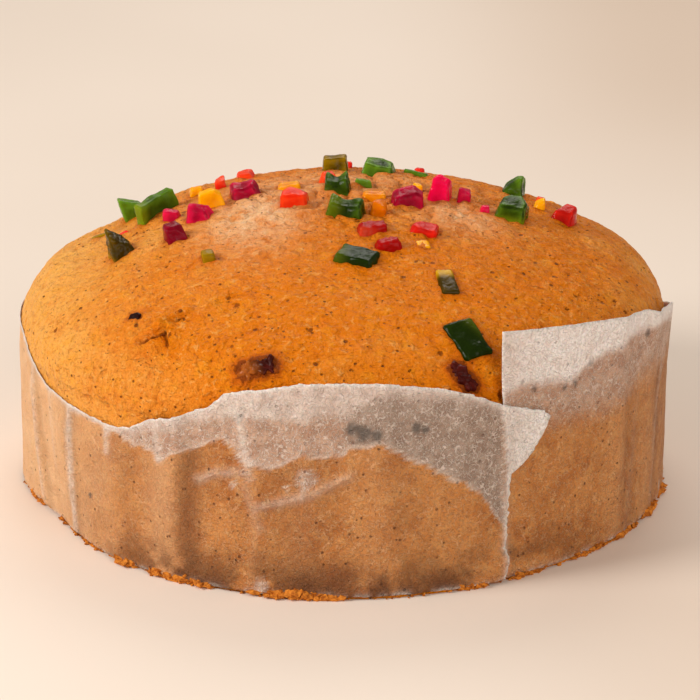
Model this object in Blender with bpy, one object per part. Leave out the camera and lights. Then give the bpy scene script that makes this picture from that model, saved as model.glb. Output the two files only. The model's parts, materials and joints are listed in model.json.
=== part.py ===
"""Tutti frutti cake: a domed sponge baked in a round tin, still in its strip of baking
paper, with candied fruit cut into small dice and sunk in its crust.

The frame is metres, +Z up. The origin is the middle of the flat base, on the surface
that the cake stands on, and -Y is the side where the two ends of the paper strip meet.
"""
import math
import random

import bmesh
import bpy
from mathutils import Matrix, Vector, noise

MM = 0.001

# Driving sizes, in millimetres.
TIN_RADIUS = 73.9          # outside of the sponge, where the tin's wall held it
WALL_TOP = 35.3            # where the straight wall turns into the dome
CROWN_RISE = 32.1          # from there up to the crown
PLAN_POWER = 1.695         # roundness of the dome seen along the radius
RISE_POWER = 2.217         # roundness of the dome seen up the height
CROWN_TILT = 0.023         # the crown is a little higher towards +X
CROWN_SAG = 0.55           # and sags a little between the middle and +X

PAPER_THICK = 0.35
FIT_GAP = 0.35             # air left between any two pieces that touch
PAPER_FOOT = 1.2           # the strip hangs this far above the table
CRUMB_TOP = 0.8            # crumbs squeezed out below the strip stay under this

SPONGE_COLUMNS = 120
DOME_RINGS = 17
PAPER_COLUMNS = 150
PAPER_ROWS = 5

DOWN_FRONT = -90.0         # degrees round from +X


def bell(distance, width):
    """A smooth bump, 1 at the middle."""
    return math.exp(-(distance / width) ** 2)


def turn_between(angle, centre):
    """Degrees from centre to angle, the short way round."""
    return (angle - centre + 180.0) % 360.0 - 180.0


def smooth_step(value):
    value = min(max(value, 0.0), 1.0)
    return value * value * (3.0 - 2.0 * value)


def foot_swell(angle):
    """How far the foot of the cake stands out of round: a belly in front, a flat left of it."""
    belly = 3.6 * bell(turn_between(angle, DOWN_FRONT - 2.0), 32.0)
    flat = -3.4 * bell(turn_between(angle, -153.0), 15.0)
    return belly + flat


def wall_radius(angle, height):
    """Radius of the sponge's wall, in mm."""
    return TIN_RADIUS + foot_swell(angle) * (1.0 - min(height / WALL_TOP, 1.0))


def crust_bumps(x, y):
    """Low swells of the crust: where it rose over a raisin, and a slow unevenness."""
    raisin = 1.1 * bell(math.hypot(x + 18.3, y + 65.0), 7.0)
    lip = 0.7 * bell(math.hypot(x + 38.0, y + 50.0), 5.0)
    left = (1.8 * bell(x + 67.5, 5.5) - 0.8 * bell(x + 54.0, 5.0)) * bell(y, 40.0)
    right = 1.1 * bell(x - 65.0, 8.0) * bell(y, 40.0)
    slow = 0.35 * noise.noise(Vector((x / 16.0, y / 16.0, 3.7)))
    return raisin + lip + left + right + slow


def crust_height(x, y):
    """Height of the dome over the point x, y, in mm."""
    reach = min(math.hypot(x, y) / TIN_RADIUS, 0.9999)
    rise = (1.0 - reach ** PLAN_POWER) ** (1.0 / RISE_POWER)
    tilt = CROWN_TILT * x * rise * (2.0 - rise)
    sag = CROWN_SAG * math.sin(math.pi * x / TIN_RADIUS) * rise
    return WALL_TOP + CROWN_RISE * rise + tilt - sag + crust_bumps(x, y) * smooth_step(rise * 3.0)


def crust_normal(x, y):
    """Unit vector standing square on the crust."""
    step = 0.6
    slope_x = (crust_height(x + step, y) - crust_height(x - step, y)) / (2.0 * step)
    slope_y = (crust_height(x, y + step) - crust_height(x, y - step)) / (2.0 * step)
    return Vector((-slope_x, -slope_y, 1.0)).normalized()


def material(name, colour, roughness):
    """A plain Principled material, colour in linear RGB."""
    made = bpy.data.materials.get(name)
    if made:
        return made
    made = bpy.data.materials.new(name)
    made.use_nodes = True
    shader = made.node_tree.nodes["Principled BSDF"]
    shader.inputs["Base Color"].default_value = (*colour, 1.0)
    shader.inputs["Roughness"].default_value = roughness
    shader.inputs["Metallic"].default_value = 0.0
    made.diffuse_color = (*colour, 1.0)
    return made


def make_object(name, mesh_builder, skin, parent):
    """Write a bmesh to a named object, faces out, with one material."""
    bmesh.ops.recalc_face_normals(mesh_builder, faces=mesh_builder.faces)
    mesh = bpy.data.meshes.new(name)
    mesh_builder.to_mesh(mesh)
    mesh_builder.free()
    made = bpy.data.objects.new(name, mesh)
    bpy.context.scene.collection.objects.link(made)
    made.parent = parent
    made.data.materials.append(skin)
    return made


# ---- The sponge: foot of squeezed crumbs, straight wall, domed crust ----

def crumb_radius(angle):
    """Ragged foot: crumbs stand out from under the paper by about a millimetre."""
    turn = math.radians(angle)
    place = Vector((math.cos(turn) * 14.0, math.sin(turn) * 14.0, 0.0))
    return 1.0 + 0.9 * noise.noise(place) + 0.5 * noise.noise(place * 2.7)


def sponge_rings():
    """Rings of the sponge from its base to just below the crown, each a list of points."""
    foot = [(0.0, 1.0), (0.4, 1.1), (CRUMB_TOP, 0.0)]
    wall = [7.0, 14.0, 21.0, 28.0]
    angles = [360.0 * column / SPONGE_COLUMNS for column in range(SPONGE_COLUMNS)]
    rings = []
    for height, share in foot:
        rings.append([polar(angle, wall_radius(angle, height) + share * crumb_radius(angle), height)
                      for angle in angles])
    for height in wall:
        rings.append([polar(angle, wall_radius(angle, height), height) for angle in angles])
    for ring in range(DOME_RINGS):
        turn = math.pi / 2.0 * (1.0 - ring / DOME_RINGS) ** 1.15
        radius = TIN_RADIUS * math.sin(turn) ** (2.0 / PLAN_POWER)
        rings.append([on_crust(angle, radius) for angle in angles])
    return rings


def polar(angle, radius, height):
    turn = math.radians(angle)
    return Vector((radius * math.cos(turn), radius * math.sin(turn), height))


def on_crust(angle, radius):
    point = polar(angle, radius, 0.0)
    return Vector((point.x, point.y, crust_height(point.x, point.y)))


def build_sponge(parent):
    """One closed body: base disc, rings joined by quads, and a fan over the crown."""
    body = bmesh.new()
    rows = [[body.verts.new(point * MM) for point in ring] for ring in sponge_rings()]
    for lower, upper in zip(rows, rows[1:]):
        for column in range(SPONGE_COLUMNS):
            after = (column + 1) % SPONGE_COLUMNS
            body.faces.new((lower[column], lower[after], upper[after], upper[column]))
    crown = body.verts.new(Vector((0.0, 0.0, crust_height(0.0, 0.0))) * MM)
    for column in range(SPONGE_COLUMNS):
        after = (column + 1) % SPONGE_COLUMNS
        body.faces.new((rows[-1][column], rows[-1][after], crown))
    body.faces.new(list(reversed(rows[0])))
    crust = material("crust", (0.72, 0.30, 0.06), 0.62)
    return make_object("cake_sponge", body, crust, parent)


# ---- The paper: one strip, its cut end under its torn end ----

# Upper edge of the strip: (degrees round from +X, height in mm), from the straight-cut
# end, round the far side, to the tip of the torn end. Its high plateau is in front.
PAPER_EDGE = (
    (-63, 56.0), (-50, 54.4), (-38, 52.5), (-28, 50.8), (-18, 47.8), (-8, 44.5), (6, 38.5),
    (18, 33.0), (50, 31.5), (90, 33.0), (130, 35.5), (165, 38.5), (180, 40.0), (196, 39.5),
    (202, 35.5), (209, 32.8), (222, 31.6), (231, 31.6), (237, 35.2), (247, 39.8), (251, 44.0),
    (260, 46.1), (264, 47.2), (276, 47.1), (286, 45.3), (291, 43.0), (298, 39.3), (303, 37.8),
    (306.2, 35.4),
)
# The torn end from its tip down to the table: (height in mm, degrees).
TORN_END = (
    (35.4, 306.2), (30.0, 303.4), (26.5, 301.4), (24.3, 298.6), (18.0, 297.7), (11.5, 296.9),
    (6.0, 298.2), (1.2, 297.0),
)
CUT_END = -63.0
PAPER_FOLDS = (            # (degrees, how far the fold stands out in mm, half width in degrees)
    (-146, 0.6, 2.5), (-118, 0.9, 4.0), (-104, 0.4, 2.0), (-36, 0.5, 3.0), (-25, 0.8, 3.5),
    (20, 0.5, 3.0), (64, 0.8, 4.0), (112, 0.6, 3.0), (150, 0.7, 3.0),
)


def along(points, place):
    """Straight-line reading of a list of (place, value) pairs."""
    for (here, low), (there, high) in zip(points, points[1:]):
        if place <= there:
            share = max((place - here) / (there - here), 0.0)
            return low + (high - low) * share
    return points[-1][1]


def torn_angle(height):
    """Where the strip's torn end stands at a height."""
    rising = tuple(reversed(TORN_END))
    return along(rising, min(max(height, rising[0][0]), rising[-1][0]))


def paper_stand(angle, height):
    """Clear distance from the tin's radius to the strip's inner face."""
    flare = 1.5 * bell(turn_between(angle, -16.0), 22.0) * smooth_step((height - 24.0) / 26.0)
    lean = -1.4 * bell(turn_between(angle, DOWN_FRONT), 34.0) * smooth_step((height - 37.0) / 11.0)
    lap = (PAPER_THICK + FIT_GAP) * smooth_step((angle - 282.0) / 12.0)
    fold = sum(out * bell(turn_between(angle, where), width) for where, out, width in PAPER_FOLDS)
    return FIT_GAP + flare + lean + lap + fold * smooth_step((height + 4.0) / 20.0)


def paper_point(share, level, skin):
    """A point of the strip: share along it, level up it, and skin 0 inside or 1 outside."""
    end = 306.2
    angle = CUT_END + (end - CUT_END) * share
    height = PAPER_FOOT + (along(PAPER_EDGE, angle) - PAPER_FOOT) * level
    angle = CUT_END + (torn_angle(height) - CUT_END) * share
    wall = wall_radius(angle, min(height, WALL_TOP))
    return polar(angle, wall + paper_stand(angle, height) + PAPER_THICK * skin, height)


def build_paper(parent):
    """A thin closed wall: an inner and an outer sheet joined along all four edges."""
    strip = bmesh.new()
    sheets = []
    for skin in (0, 1):
        sheets.append([[strip.verts.new(paper_point(column / PAPER_COLUMNS, row / PAPER_ROWS, skin) * MM)
                        for row in range(PAPER_ROWS + 1)]
                       for column in range(PAPER_COLUMNS + 1)])
    for sheet in sheets:
        for before, after in zip(sheet, sheet[1:]):
            for row in range(PAPER_ROWS):
                strip.faces.new((before[row], after[row], after[row + 1], before[row + 1]))
    inner, outer = sheets
    for row in (0, PAPER_ROWS):
        for column in range(PAPER_COLUMNS):
            strip.faces.new((inner[column][row], inner[column + 1][row],
                             outer[column + 1][row], outer[column][row]))
    for column in (0, PAPER_COLUMNS):
        for row in range(PAPER_ROWS):
            strip.faces.new((inner[column][row], inner[column][row + 1],
                             outer[column][row + 1], outer[column][row]))
    paper = material("baking_paper", (0.62, 0.42, 0.28), 0.55)
    return make_object("paper_wrap", strip, paper, parent)


# ---- The fruit: candied peel and cherries cut into small dice ----

FRUIT_COLOURS = {
    "green": (0.03, 0.16, 0.02), "olive": (0.10, 0.09, 0.01), "crimson": (0.38, 0.01, 0.03),
    "red": (0.55, 0.02, 0.01), "orange": (0.80, 0.10, 0.02), "amber": (0.85, 0.33, 0.01),
    "pink": (0.75, 0.01, 0.06), "raisin": (0.12, 0.02, 0.01),
}

# Each die: name, colour, place (x, y), length, width and height above the crust, all in
# mm, turn in degrees, how the top rises to its right and to its back (shares of the
# height), and the top's size against its foot. Places and lengths are set to half a
# millimetre, about as closely as a hand strews them.
DICE = (
    ("green_wedge", "green", -48.5, 14.0, 5.5, 5.0, 4.0, 12, -0.75, 0.0, 0.95),
    ("green_slab", "green", -42.5, 5.0, 13.0, 3.0, 4.5, 48, 0.15, 0.1, 0.85),
    ("olive_peak", "olive", -49.5, -13.5, 7.0, 7.0, 4.5, 22, -0.9, 0.5, 0.5),
    ("crimson_cube", "crimson", -39.0, -2.5, 4.5, 3.5, 2.5, -5, 0.0, 0.1, 0.8),
    ("crimson_trapeze", "crimson", -37.5, -16.0, 5.5, 5.0, 3.5, 15, 0.0, 0.2, 0.75),
    ("crimson_roof", "crimson", -32.5, -6.5, 7.0, 5.5, 3.5, -12, -0.3, 0.5, 0.6),
    ("amber_upright", "amber", -30.0, 0.5, 6.5, 3.0, 4.0, 10, 0.15, 0.1, 0.8),
    ("amber_rear_left", "amber", -34.0, 16.5, 4.0, 4.0, 2.0, 0, 0.0, 0.2, 0.8),
    ("red_cube_left", "red", -28.5, 17.5, 3.0, 4.0, 2.5, 5, 0.4, 0.1, 0.85),
    ("crimson_dimpled", "crimson", -22.5, 5.0, 8.0, 6.0, 3.0, 8, 0.35, 0.3, 0.8),
    ("orange_rear_left", "orange", -23.0, 28.5, 5.5, 5.0, 1.5, 5, 0.3, 0.2, 0.8),
    ("amber_slab", "amber", -12.5, 6.5, 6.0, 5.0, 1.0, 3, 0.3, 0.2, 0.85),
    ("orange_brick", "orange", -11.0, -7.0, 7.0, 6.0, 3.0, -6, 0.0, 0.1, 0.85),
    ("olive_chip", "olive", -29.5, -30.5, 3.5, 4.0, 2.0, 8, -0.2, 0.1, 0.8),
    ("olive_square", "olive", -2.0, 27.0, 6.5, 4.0, 3.5, 0, 0.1, 0.1, 0.9),
    ("green_hollow", "green", -1.5, 2.5, 6.5, 6.0, 3.5, -4, 0.1, 0.3, 0.75),
    ("green_shard", "green", 4.5, 7.5, 4.5, 2.5, 1.0, 5, -0.5, 0.0, 0.8),
    ("orange_chip", "orange", -3.5, 9.5, 4.0, 3.5, 2.5, 20, -0.1, 0.1, 0.8),
    ("green_lobed", "green", 0.5, -14.5, 9.5, 6.5, 3.5, -12, -0.2, 0.2, 0.75),
    ("amber_block", "amber", 8.0, -12.5, 4.0, 4.5, 2.5, -8, -0.4, 0.3, 0.8),
    ("amber_flat", "amber", 7.0, -2.5, 6.0, 4.0, 1.0, 0, 0.4, 0.2, 0.85),
    ("crimson_wedge", "crimson", 14.5, -5.5, 8.0, 5.5, 3.0, 6, 0.6, 0.4, 0.8),
    ("red_flat", "red", 6.5, -22.5, 7.5, 5.0, 1.5, 12, 0.2, 0.1, 0.8),
    ("red_chunk", "red", 10.0, -30.0, 6.5, 4.5, 1.5, 8, 0.3, 0.1, 0.75),
    ("green_rhombus", "green", 3.0, -35.5, 10.0, 7.0, 1.5, -24, -0.1, 0.1, 0.85),
    ("red_right_front", "red", 18.0, -21.5, 6.5, 5.5, 1.5, -10, -0.2, 0.2, 0.9),
    ("amber_melted", "amber", 17.5, -28.5, 4.0, 4.5, 0.4, 10, 0.0, 0.1, 0.8),
    ("olive_sunk", "olive", 22.5, -42.5, 10.0, 4.5, 1.0, -78, 0.0, 0.0, 0.85),
    ("green_crest", "green", 8.0, 23.5, 9.0, 7.0, 3.0, -6, -0.3, 0.3, 0.8),
    ("green_strip", "green", 17.0, 26.0, 7.0, 3.5, 1.0, -4, -0.6, 0.0, 0.8),
    ("pink_tall", "pink", 22.0, 1.0, 5.5, 5.5, 4.5, -14, -0.1, 0.4, 0.75),
    ("crimson_beside", "crimson", 27.5, 2.5, 3.5, 4.0, 2.5, 0, -0.3, 0.2, 0.8),
    ("amber_behind", "amber", 17.0, 4.0, 2.5, 3.0, 2.0, 0, 0.0, 0.1, 0.8),
    ("green_pyramid", "green", 39.5, 21.5, 7.0, 7.0, 3.5, -10, 0.7, 0.4, 0.5),
    ("green_cube", "green", 38.0, -3.5, 7.5, 7.5, 4.0, -14, 0.1, 0.4, 0.8),
    ("crimson_dot", "crimson", 32.0, -4.0, 2.5, 3.0, 1.5, 0, 0.2, 0.1, 0.8),
    ("amber_right", "amber", 45.0, 9.0, 3.0, 3.5, 2.5, 10, 0.7, 0.2, 0.7),
    ("orange_far_right", "orange", 46.0, 18.5, 2.5, 3.5, 1.5, 0, 0.1, 0.1, 0.8),
    ("red_right", "red", 50.5, 5.0, 6.0, 6.0, 3.5, -20, 0.1, 0.4, 0.75),
    ("green_diamond", "green", 26.5, -58.0, 10.5, 7.5, 1.0, -56, 0.0, 0.0, 0.95),
    ("cherry_wrinkled", "raisin", 25.5, -65.5, 8.0, 3.5, 0.8, -44, 0.0, 0.0, 0.8),
    ("raisin_front", "raisin", -18.0, -66.5, 9.5, 4.5, 1.0, 4, 0.0, 0.0, 0.7),
    ("raisin_chip", "raisin", -45.0, -43.5, 4.0, 2.5, 0.6, -30, 0.0, 0.0, 0.8),
    ("green_streak", "olive", -56.5, 8.0, 4.5, 2.5, 0.6, 10, 0.0, 0.0, 0.8),
    ("red_sunk", "red", -50.5, 0.5, 3.5, 2.5, 0.5, 10, 0.0, 0.0, 0.8),
    ("red_crest", "red", 1.0, 34.0, 2.5, 3.0, 1.5, 0, 0.0, 0.0, 0.8),
    ("red_crest_right", "red", 18.0, 33.5, 3.0, 3.0, 1.2, 0, 0.0, 0.0, 0.8),
)
# Dice with a waist: the height and width of their middle against their ends, and how far
# the middle is pushed back, in mm.
WAISTS = {
    "green_slab": (0.95, 1.0, 1.2),
    "green_hollow": (0.55, 0.9, 0.0),
    "green_lobed": (0.72, 0.75, 0.0),
    "crimson_dimpled": (0.86, 1.0, 0.0),
    "green_crest": (1.0, 1.05, 0.0),
}
LYING_FLUSH = 1.2          # dice lower than this lie square on the crust, as melted in
FAR_SIDE_DICE = 6
FAR_SIDE_SEED = 12
FAR_SIDE_TRIES = 400
FAR_SIDE_SPACING = 13.0
SMALLEST_SINK = 1.5


def die_sections(length, width, height, rise, lean_back, top, waist, grow):
    """The die's cross-sections from left to right, in its own frame, with air to grow by."""
    places = (-0.5, 0.0, 0.5) if waist else (-0.5, 0.5)
    sink = SMALLEST_SINK + 0.03 * length * length / 2.0 + grow
    sections = []
    for place in places:
        tall, wide, back = waist if waist and place == 0.0 else (1.0, 1.0, 0.0)
        half = width * wide / 2.0 + grow
        run = place * (length + 2.0 * grow)
        front = height * tall * (1.0 + rise * place - lean_back * 0.5) + grow
        rear = height * tall * (1.0 + rise * place + lean_back * 0.5) + grow
        sections.append((
            Vector((run, back - half, -sink)), Vector((run * top, back - half * top, front)),
            Vector((run * top, back + half * top, rear)), Vector((run, back + half, -sink)),
        ))
    return sections


def uneven(sections, draw, amount):
    """Knife-cut corners: each is a little off."""
    return [[corner + Vector([draw.uniform(-amount, amount) for _ in range(3)])
             for corner in section] for section in sections]


def loft(sections, frame):
    """Join the cross-sections into one closed body."""
    body = bmesh.new()
    rows = [[body.verts.new((frame @ corner) * MM) for corner in section] for section in sections]
    count = len(rows[0])
    for before, after in zip(rows, rows[1:]):
        for corner in range(count):
            following = (corner + 1) % count
            body.faces.new((before[corner], before[following], after[following], after[corner]))
    body.faces.new(rows[0])
    body.faces.new(list(reversed(rows[-1])))
    return body


def die_frame(x, y, turn, flush):
    """The die's own frame: its foot on the crust, more or less square to it."""
    up = crust_normal(x, y)
    if not flush:
        up = (up * 0.75 + Vector((0.0, 0.0, 0.25))).normalized()
    spin = Matrix.Rotation(math.radians(turn), 4, "Z")
    stand = Vector((0.0, 0.0, 1.0)).rotation_difference(up).to_matrix().to_4x4()
    return Matrix.Translation((x, y, crust_height(x, y))) @ stand @ spin


def build_die(row, parent, cutters):
    """A die with small rounded edges, and the slightly larger body that cuts its socket."""
    name, colour, x, y, length, width, height, turn, rise, lean_back, top = row
    frame = die_frame(x, y, turn, height < LYING_FLUSH)
    waist = WAISTS.get(name)
    shape = (length, width, height, rise, lean_back, top, waist)
    jitter = 0.035 * min(length, width)
    body = loft(uneven(die_sections(*shape, 0.0), random.Random(name), jitter), frame)
    edge = min(0.5, 0.09 * min(length, width))
    bmesh.ops.bevel(body, geom=body.edges[:], offset=edge * MM, segments=1, affect="EDGES",
                    profile=0.5)
    skin = material("fruit_" + colour, FRUIT_COLOURS[colour], 0.2)
    made = make_object(name, body, skin, parent)
    socket = loft(uneven(die_sections(*shape, FIT_GAP), random.Random(name), jitter), frame)
    cutter = make_object("socket_of_" + name, socket, skin, parent)
    cutters.objects.link(cutter)
    bpy.context.scene.collection.objects.unlink(cutter)
    return made


def far_side_dice(taken):
    """Dice strewn over the shoulder that lies away from the paper's join."""
    draw = random.Random(FAR_SIDE_SEED)
    places = [(row[2], row[3]) for row in taken]
    colours = ("green", "red", "amber", "crimson", "orange", "olive")
    rows = []
    for _ in range(FAR_SIDE_TRIES):
        turn = math.radians(draw.uniform(30.0, 150.0))
        radius = draw.uniform(61.0, 67.0)
        x, y = radius * math.cos(turn), radius * math.sin(turn)
        crowded = min(math.hypot(x - a, y - b) for a, b in places) < FAR_SIDE_SPACING
        if crowded or len(rows) == FAR_SIDE_DICE:
            continue
        places.append((x, y))
        number = len(rows) + 1
        rows.append((
            f"far_die_{number:02d}", colours[len(rows) % len(colours)], x, y,
            draw.uniform(5.5, 8.0), draw.uniform(4.5, 6.5), draw.uniform(0.6, 1.0),
            draw.uniform(-60.0, 60.0), draw.uniform(-0.2, 0.2), draw.uniform(-0.2, 0.2),
            draw.uniform(0.65, 0.9)))
    return rows


def cut_sockets(sponge, cutters):
    """Take every die's room out of the crust, so that each sits in a socket of its own."""
    cut = sponge.modifiers.new("sockets", "BOOLEAN")
    cut.operation = "DIFFERENCE"
    cut.solver = "EXACT"
    cut.operand_type = "COLLECTION"
    cut.collection = cutters
    bpy.context.view_layer.update()
    bpy.context.view_layer.objects.active = sponge
    bpy.ops.object.modifier_apply(modifier=cut.name)
    for cutter in list(cutters.objects):
        bpy.data.objects.remove(cutter)
    bpy.data.collections.remove(cutters)


def shade(made):
    """Round pieces shade smooth and keep their cut edges."""
    made.data.shade_smooth()
    made.data.set_sharp_from_angle(angle=math.radians(40.0))


def main():
    for old in list(bpy.data.objects):
        bpy.data.objects.remove(old)
    cake = bpy.data.objects.new("cake", None)
    bpy.context.scene.collection.objects.link(cake)
    cutters = bpy.data.collections.new("sockets")
    bpy.context.scene.collection.children.link(cutters)

    sponge = build_sponge(cake)
    paper = build_paper(cake)
    dice = [build_die(row, cake, cutters) for row in DICE + tuple(far_side_dice(DICE))]
    cut_sockets(sponge, cutters)
    for made in [sponge, paper] + dice:
        shade(made)


main()
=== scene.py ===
"""A tutti frutti cake: a domed sponge, still in the strip of baking paper that lined its
tin, with dice of candied fruit sunk in the crust.

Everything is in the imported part's frame. Lengths below are in millimetres where a name
or a comment doesn't say otherwise, and meshes are written in metres.
"""
import json
import math
import random

import bmesh
import bpy
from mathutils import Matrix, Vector, noise
from mathutils.bvhtree import BVHTree
from mathutils.kdtree import KDTree


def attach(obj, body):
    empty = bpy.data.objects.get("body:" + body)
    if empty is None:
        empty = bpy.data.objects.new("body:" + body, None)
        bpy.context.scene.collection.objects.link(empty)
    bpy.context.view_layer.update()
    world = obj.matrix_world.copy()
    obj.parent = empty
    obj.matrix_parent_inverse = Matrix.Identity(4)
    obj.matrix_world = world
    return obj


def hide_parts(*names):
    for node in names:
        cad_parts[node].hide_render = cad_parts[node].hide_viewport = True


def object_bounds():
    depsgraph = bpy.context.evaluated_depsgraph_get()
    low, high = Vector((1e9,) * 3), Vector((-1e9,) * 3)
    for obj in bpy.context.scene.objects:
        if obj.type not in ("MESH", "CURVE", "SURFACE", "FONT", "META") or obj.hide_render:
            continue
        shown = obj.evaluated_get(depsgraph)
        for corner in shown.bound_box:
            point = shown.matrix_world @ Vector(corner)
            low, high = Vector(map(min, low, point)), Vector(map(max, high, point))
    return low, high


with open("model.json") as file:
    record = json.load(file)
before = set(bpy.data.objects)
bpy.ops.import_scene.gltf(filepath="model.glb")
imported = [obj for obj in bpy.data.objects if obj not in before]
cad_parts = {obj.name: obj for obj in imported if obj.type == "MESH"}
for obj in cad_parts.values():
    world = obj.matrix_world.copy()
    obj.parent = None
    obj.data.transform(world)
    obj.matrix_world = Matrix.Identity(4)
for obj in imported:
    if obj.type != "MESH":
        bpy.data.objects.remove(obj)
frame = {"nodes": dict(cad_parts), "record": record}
cad_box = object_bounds()

# ---- The sponge ----
# A light butter sponge that rose in its tin: straight below, where the tin held it, and
# domed above. The crust is thin, baked orange, pricked with pores and blistered on the
# crown, and it lifts into a small lip round each die of fruit. Its colour is paler on the
# left, partly painted light, with a painted sheen on the crown and painted shade in the
# pores and cracks and round each die.

MM = 0.001
TIN_RADIUS = 73.9
WALL_TOP = 35.3
CROWN_RISE = 32.1
PLAN_POWER = 1.695         # how far out the dome stays high
RISE_POWER = 2.217         # how steeply it leaves the wall
CROWN_TILT = 0.023         # rise towards the right, mm for each mm
CROWN_SAG = 0.55
DOWN_FRONT = -90.0         # degrees round the cake, counted from its right side
FOOT_SWELLS = (            # (degrees, half width, how far out): the foot isn't quite round
    (DOWN_FRONT - 2.0, 32.0, 3.6), (-153.0, 15.0, -3.4),
)
CRUST_SWELLS = (           # (x, y, half width, height): over the front raisin, by the torn lips
    (-18.3, -65.0, 7.0, 1.1), (-38.0, -50.0, 5.0, 0.7),
)
SHOULDER_ROLLS = (         # (x, half width, height): low rolls and a dip along the shoulders
    (-67.5, 5.5, 1.8), (-54.0, 5.0, -0.8), (65.0, 8.0, 1.1),
)
ROLL_REACH = 40.0
BROAD_SWELL, BROAD_WAVE = 0.35, 16.0
RIM_SWELLS = (             # (degrees, half width, height, half height, how far out) over the rim
    (-168.0, 36.0, 41.5, 6.0, 0.70), (0.0, 35.0, 48.0, 7.0, 0.80),
)

CRUST_GRID = 276           # squares along each side of the grid that covers the dome
WALL_LEVELS = (34.3, 33.2, 32.0, 30.6, 28.8, 20.0, 8.0, 2.0)
FOOT_LEVELS = (0.9, 0.5, 0.2, 0.0)
FOOT_UNDERCUT = 0.7
WALL_SKIN, SKIN_ABOVE = 0.2, 25.0
CRUST_RIPPLES = (          # (height, squeeze front to back, wave length, layer of the noise)
    (0.24, 1.2, 2.4, 9.0), (0.20, 1.0, 1.2, 2.0), (0.30, 1.0, 8.0, 11.0),
)
BLISTERED = (3.0, 4.0, 38.0)    # x, y and half width of the blistered crown
BLISTER_DEPTH, BLISTER_WIDTH = 1.25, 0.22
CREASE_DEPTH, CREASE_WIDTH = 0.30, 0.08
PORE_COUNT, PORE_SEED = 170, 4
PORE_REACH, PORE_DEPTH = 73.0, 0.5
SMALLEST_PORE, LARGER_PORES = 0.28, 0.40
CRACKS = (                 # (x, y) from, (x, y) to, depth: torn lips on the left shoulder
    ((-43.5, -51), (-38.5, -51.5), 1.425), ((-38.5, -51.5), (-37.5, -55), 1.2),
    ((-38, -50.5), (-34, -48.5), 1.05), ((-45, -53.5), (-41.5, -55), 0.75),
    ((-41, -56.5), (-40.5, -60), 0.6), ((-27, -47), (-24, -46), 0.525),
)
CRACK_REACH, CRACK_WIDTH = 9.0, 0.62
CRACK_LIP, LIP_AWAY = 0.77, 1.2
FRUIT_NEAR, RAISIN_NEAR = 4.0, 12.0
FRUIT_LIP, LIP_WIDTH = 0.34, 1.1
STAIN_FADE, BURNT_FADE = 1.2, 1.3
PAINTED_SHEEN_PATCHES = (            # (x, y, half width, half length, share) of the painted sheen on the crown
    (-20.0, -12.0, 11.0, 16.0, 0.85), (27.0, -9.0, 10.0, 10.0, 0.55), (-4.0, 12.0, 26.0, 16.0, 0.40),
)

# linear RGB, here and below
CRUST_DEEP, CRUST_PALE = (0.81, 0.205, 0.0), (0.98, 0.450, 0.090)
CRUST_TINTS = (            # which noise, where its tint starts and is full, how much, colour
    ("patch", 0.50, 0.70, 0.40, (0.93, 0.35, 0.015)),
    ("patch", 0.46, 0.30, 0.40, (0.66, 0.135, 0.0)),
    ("fleck", 0.55, 0.66, 0.50, (0.98, 0.48, 0.12)),
    ("fleck", 0.45, 0.34, 0.40, (0.62, 0.130, 0.001)),
    ("grain", 0.42, 0.28, 0.40, (0.52, 0.100, 0.001)),
)
# a painted sheen on the crown, and painted glints within it
PAINTED_SHEEN, PAINTED_SHEEN_GLINTS = (1.0, 0.58, 0.29), (1.0, 0.75, 0.52)
# the last of these three colours is painted shade in pores, pinpricks and cracks and round each die
STAINED, BURNT, PIT_SHADE = (0.60, 0.125, 0.002), (0.20, 0.034, 0.002), (0.22, 0.042, 0.002)
PINPRICKS = ((7.5, 0.075), (3.0, 0.125), (1.9, 0.13))    # (mm apart, share of that); each pinprick darkened with painted shade
CRUST_FINISH = {
    "Roughness": 0.38, "Specular IOR Level": 0.08, "Subsurface Weight": 0.08,
    "Subsurface Radius": (1.0, 0.4, 0.1), "Subsurface Scale": 0.0015,
}


def bell(distance, width):
    """1 at no distance, falling to almost nothing at twice the width."""
    return math.exp(-(distance / width) ** 2)


def turn_between(angle, centre):
    """Degrees from centre to angle, the short way round."""
    return (angle - centre + 180.0) % 360.0 - 180.0


def smooth_step(value, start=0.0, end=1.0):
    """0 as far as start, 1 from end on, and smooth between."""
    share = min(max((value - start) / (end - start), 0.0), 1.0)
    return share * share * (3.0 - 2.0 * share)


def ripple(x, y, size, layer=0.0):
    """Smooth noise, about -1 to 1, whose waves are about size mm long."""
    return noise.noise(Vector((x / size, y / size, layer)))


def wall_radius(angle, height):
    """The tin's straight wall, which goes a little out of round towards its foot."""
    swell = sum(out * bell(turn_between(angle, middle), width) for middle, width, out in FOOT_SWELLS)
    return TIN_RADIUS + swell * (1.0 - min(height / WALL_TOP, 1.0))


def crust_bumps(x, y):
    """The dome's broad low relief."""
    swells = sum(high * bell(math.hypot(x - middle_x, y - middle_y), width)
                 for middle_x, middle_y, width, high in CRUST_SWELLS)
    rolls = sum(high * bell(x - middle, width) for middle, width, high in SHOULDER_ROLLS)
    return swells + rolls * bell(y, ROLL_REACH) + BROAD_SWELL * ripple(x, y, BROAD_WAVE, 3.7)


def crust_height(x, y):
    """Height of the dome over a place, without pores and cracks."""
    reach = min(math.hypot(x, y) / TIN_RADIUS, 0.9999)
    rise = (1.0 - reach ** PLAN_POWER) ** (1.0 / RISE_POWER)
    tilt = CROWN_TILT * x * rise * (2.0 - rise)
    sag = CROWN_SAG * math.sin(math.pi * x / TIN_RADIUS) * rise
    return WALL_TOP + CROWN_RISE * rise + tilt - sag + crust_bumps(x, y) * smooth_step(rise * 3.0)


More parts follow.
